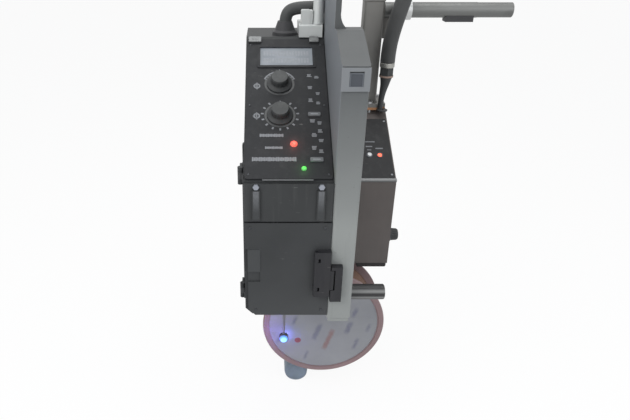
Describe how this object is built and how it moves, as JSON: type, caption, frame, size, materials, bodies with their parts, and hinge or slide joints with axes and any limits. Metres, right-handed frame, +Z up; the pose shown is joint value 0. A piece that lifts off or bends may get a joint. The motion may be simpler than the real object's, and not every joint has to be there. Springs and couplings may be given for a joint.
{
  "type": "boom-hung wire feeder",
  "caption": "Boom-hung welding wire feeder: sloping control unit and smaller companion on a slim column, wire drive behind a side door, spool below.",
  "frame": {"origin": "centre of the boom tube's free end, which the boom's clamp holds", "axes": "+X out of the tube's free end, +Y towards the back, +Z up"},
  "size_m": [0.6248, 0.514, 1.0638],
  "materials": {
    "tube_steel": "brushed grey pipe",
    "post_paint": "satin warm grey paint",
    "bronze_pad": "orange-brown insulating board",
    "zinc": "zinc plate",
    "column_grey": "pale grey painted casting",
    "housing_black": "fine texture black paint",
    "cover_black": "fine grain black plastic",
    "panel_black": "satin black panel",
    "screen": "pale blue-grey display glass",
    "knob_black": "satin black moulding",
    "key_grey": "grey key cap",
    "lamp": "lit lens",
    "white_key": "white key cap",
    "rubber_black": "black rubber",
    "light_casting": "bead-blasted casting",
    "blue_lens": "lit blue lens",
    "plate_alloy": "machined alloy",
    "motor_black": "black enamel",
    "gear_steel": "hardened steel",
    "side_brown": "brown-grey fine texture paint",
    "bumper_blue": "blue-grey rubber",
    "spool_plastic": "red-brown moulding",
    "wire_copper": "copper-coated wire",
    "label": "pale coated paper",
    "brass_guide": "turned brass"
  },
  "bodies": {
    "frame": {"arm_bumper": "bumper_blue", "boom_post": "post_paint", "boom_tube": "tube_steel", "cable_hose": "rubber_black", "clamp_base": "zinc", "clamp_keeper": "knob_black", "column_back": "column_grey", "column_bracket": "light_casting", "column_casting": "column_grey", "conduit": "rubber_black", "conduit_boot": "rubber_black", "door_hinges": "zinc", "feed_plate": "plate_alloy", "frame_bolts": "zinc", "front_bolts": "zinc", "gear_motor": "motor_black", "gland_ring": "light_casting", "hanger_block": "light_casting", "hose_bracket": "plate_alloy", "hose_coupling": "zinc", "hose_gland": "knob_black", "insulator_pad": "bronze_pad", "lamp_lens": "blue_lens", "lamp_stem": "knob_black", "lifting_post": "light_casting", "lower_front_cover": "cover_black", "main_housing": "housing_black", "main_panel": "panel_black", "panel_catches": "zinc", "panel_lamps": "lamp", "rest_peg": "gear_steel", "screen_glass": "screen", "seam_strip": "zinc", "side_housing": "side_brown", "side_lamp": "lamp", "side_panel": "panel_black", "spindle": "zinc", "spool_arm": "column_grey", "tube_pad": "rubber_black", "upper_front_cover": "cover_black", "welding_wire": "wire_copper", "wire_guides": "brass_guide"},
    "side_door": {"side_door": "housing_black"},
    "upper_knob": {"upper_knob": "knob_black"},
    "lower_knob": {"lower_knob": "knob_black"},
    "mode_key": {"mode_key": "key_grey"},
    "test_key": {"test_key": "key_grey"},
    "side_key": {"side_key": "white_key"},
    "side_knob": {"side_knob": "knob_black"},
    "clamp_lever": {"clamp_lever": "rubber_black"},
    "drive_roll": {"drive_roll": "gear_steel", "roll_screw": "brass_guide"},
    "motor_pinion": {"motor_pinion": "gear_steel"},
    "pressure_arm": {"pressure_arm": "light_casting"},
    "idler_roll": {"idler_roll": "gear_steel"},
    "tension_knob": {"tension_knob": "knob_black"},
    "spool": {"spool_body": "spool_plastic", "spool_hub": "knob_black", "wound_wire": "wire_copper", "spool_label": "label"}
  },
  "joints": [
    {"name": "side_door_hinge", "type": "hinge", "parent": "frame", "child": "side_door", "pos_m": [-0.614, -0.411, -0.373], "axis": [0, 0, 1], "range_deg": [0, 110]},
    {"name": "upper_knob_turn", "type": "hinge", "parent": "frame", "child": "upper_knob", "pos_m": [-0.5395, -0.24701, -0.10905], "axis": [0, -0.5496, 0.8355], "continuous": true},
    {"name": "lower_knob_turn", "type": "hinge", "parent": "frame", "child": "lower_knob", "pos_m": [-0.5395, -0.31385, -0.15302], "axis": [0, -0.5496, 0.8355], "range_deg": [-135, 135]},
    {"name": "mode_key_press", "type": "slide", "parent": "frame", "child": "mode_key", "axis": [0, 0.5496, -0.8355], "range_m": [0, 0.0012], "stiffness_N_per_m": 300},
    {"name": "test_key_press", "type": "slide", "parent": "frame", "child": "test_key", "axis": [0, 0.5496, -0.8355], "range_m": [0, 0.0012], "stiffness_N_per_m": 300},
    {"name": "side_key_press", "type": "slide", "parent": "frame", "child": "side_key", "axis": [0, 0.5019, -0.8649], "range_m": [0, 0.0012], "stiffness_N_per_m": 200},
    {"name": "side_knob_turn", "type": "hinge", "parent": "frame", "child": "side_knob", "pos_m": [-0.273, -0.178, -0.493], "axis": [1, 0, 0], "range_deg": [-135, 135]},
    {"name": "clamp_lever_swing", "type": "hinge", "parent": "frame", "child": "clamp_lever", "pos_m": [-0.4695, -0.449, -0.432], "axis": [0, 0, -1], "range_deg": [0, 100]},
    {"name": "drive_roll_spin", "type": "hinge", "parent": "frame", "child": "drive_roll", "pos_m": [-0.5455, -0.1825, -0.386], "axis": [1, 0, 0], "continuous": true},
    {"name": "motor_pinion_spin", "type": "hinge", "parent": "frame", "child": "motor_pinion", "pos_m": [-0.5455, -0.155, -0.386], "axis": [1, 0, 0], "continuous": true},
    {"name": "pressure_arm_swing", "type": "hinge", "parent": "frame", "child": "pressure_arm", "pos_m": [-0.5555, -0.2395, -0.434], "axis": [1, 0, 0], "range_deg": [0, 35]},
    {"name": "idler_roll_spin", "type": "hinge", "parent": "pressure_arm", "child": "idler_roll", "pos_m": [-0.5555, -0.2175, -0.386], "axis": [1, 0, 0], "continuous": true},
    {"name": "tension_knob_turn", "type": "hinge", "parent": "pressure_arm", "child": "tension_knob", "pos_m": [-0.5485, -0.2375, -0.341], "axis": [0, 1, 0], "continuous": true},
    {"name": "spool_spin", "type": "hinge", "parent": "frame", "child": "spool", "pos_m": [-0.4235, -0.2, -0.711], "axis": [0, 1, 0], "continuous": true}
  ],
  "couplings": [
    {"joint": "motor_pinion_spin", "follows": "drive_roll_spin", "ratio": -1.75},
    {"joint": "idler_roll_spin", "follows": "drive_roll_spin", "ratio": -1}
  ]
}
